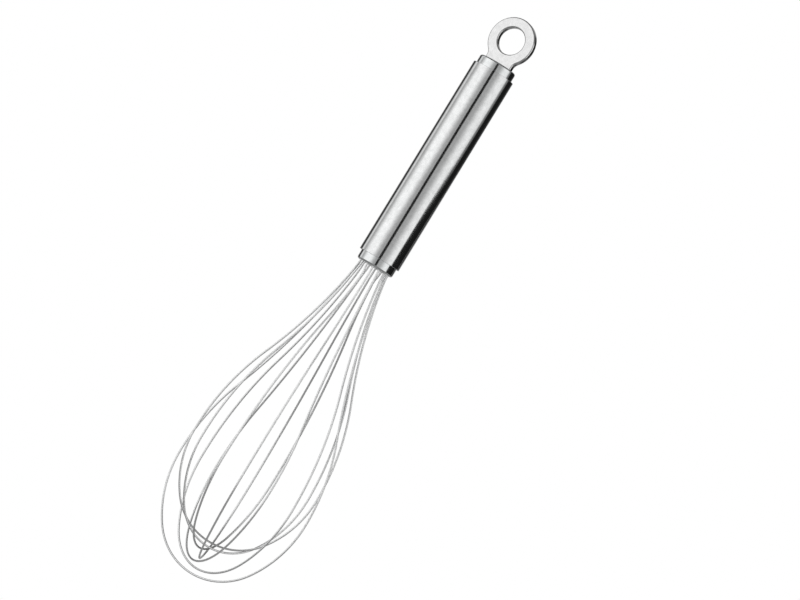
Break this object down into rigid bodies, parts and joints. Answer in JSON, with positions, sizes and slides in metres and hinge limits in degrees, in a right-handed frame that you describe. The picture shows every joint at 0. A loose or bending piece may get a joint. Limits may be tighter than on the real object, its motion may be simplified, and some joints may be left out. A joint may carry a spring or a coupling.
{
  "type": "balloon whisk",
  "caption": "Stainless steel balloon whisk with nested sprung wire loops, a tubular handle with drilled end cap and a flat hanging ring.",
  "frame": {"origin": "centre of the hole in the hanging ring", "axes": "+Z along the handle towards the top of the ring, +Y along the hanging hole, square to the ring's plate, +X across the ring"},
  "size_m": [0.0674, 0.059, 0.2707],
  "materials": {
    "brushed_tube": "satin, brushed along the tube",
    "turned_caps": "satin, turned",
    "polished_ring": "bright, tumbled edges",
    "spring_wire": "bright drawn wire",
    "inner_steel": "plain",
    "sealing_compound": "cast"
  },
  "bodies": {
    "root": {"handle_tube": "brushed_tube", "wire_end_cap": "turned_caps", "ring_end_cap": "turned_caps", "hanging_ring": "polished_ring", "tang_pin": "inner_steel", "wire_spacer_disc": "inner_steel", "wire_end_sealant": "sealing_compound", "ring_end_sealant": "sealing_compound", "wire_loop_1": "spring_wire", "wire_loop_2": "spring_wire", "wire_loop_3": "spring_wire", "wire_loop_4": "spring_wire", "wire_loop_5": "spring_wire", "wire_loop_6": "spring_wire", "wire_loop_7": "spring_wire"}
  },
  "joints": []
}
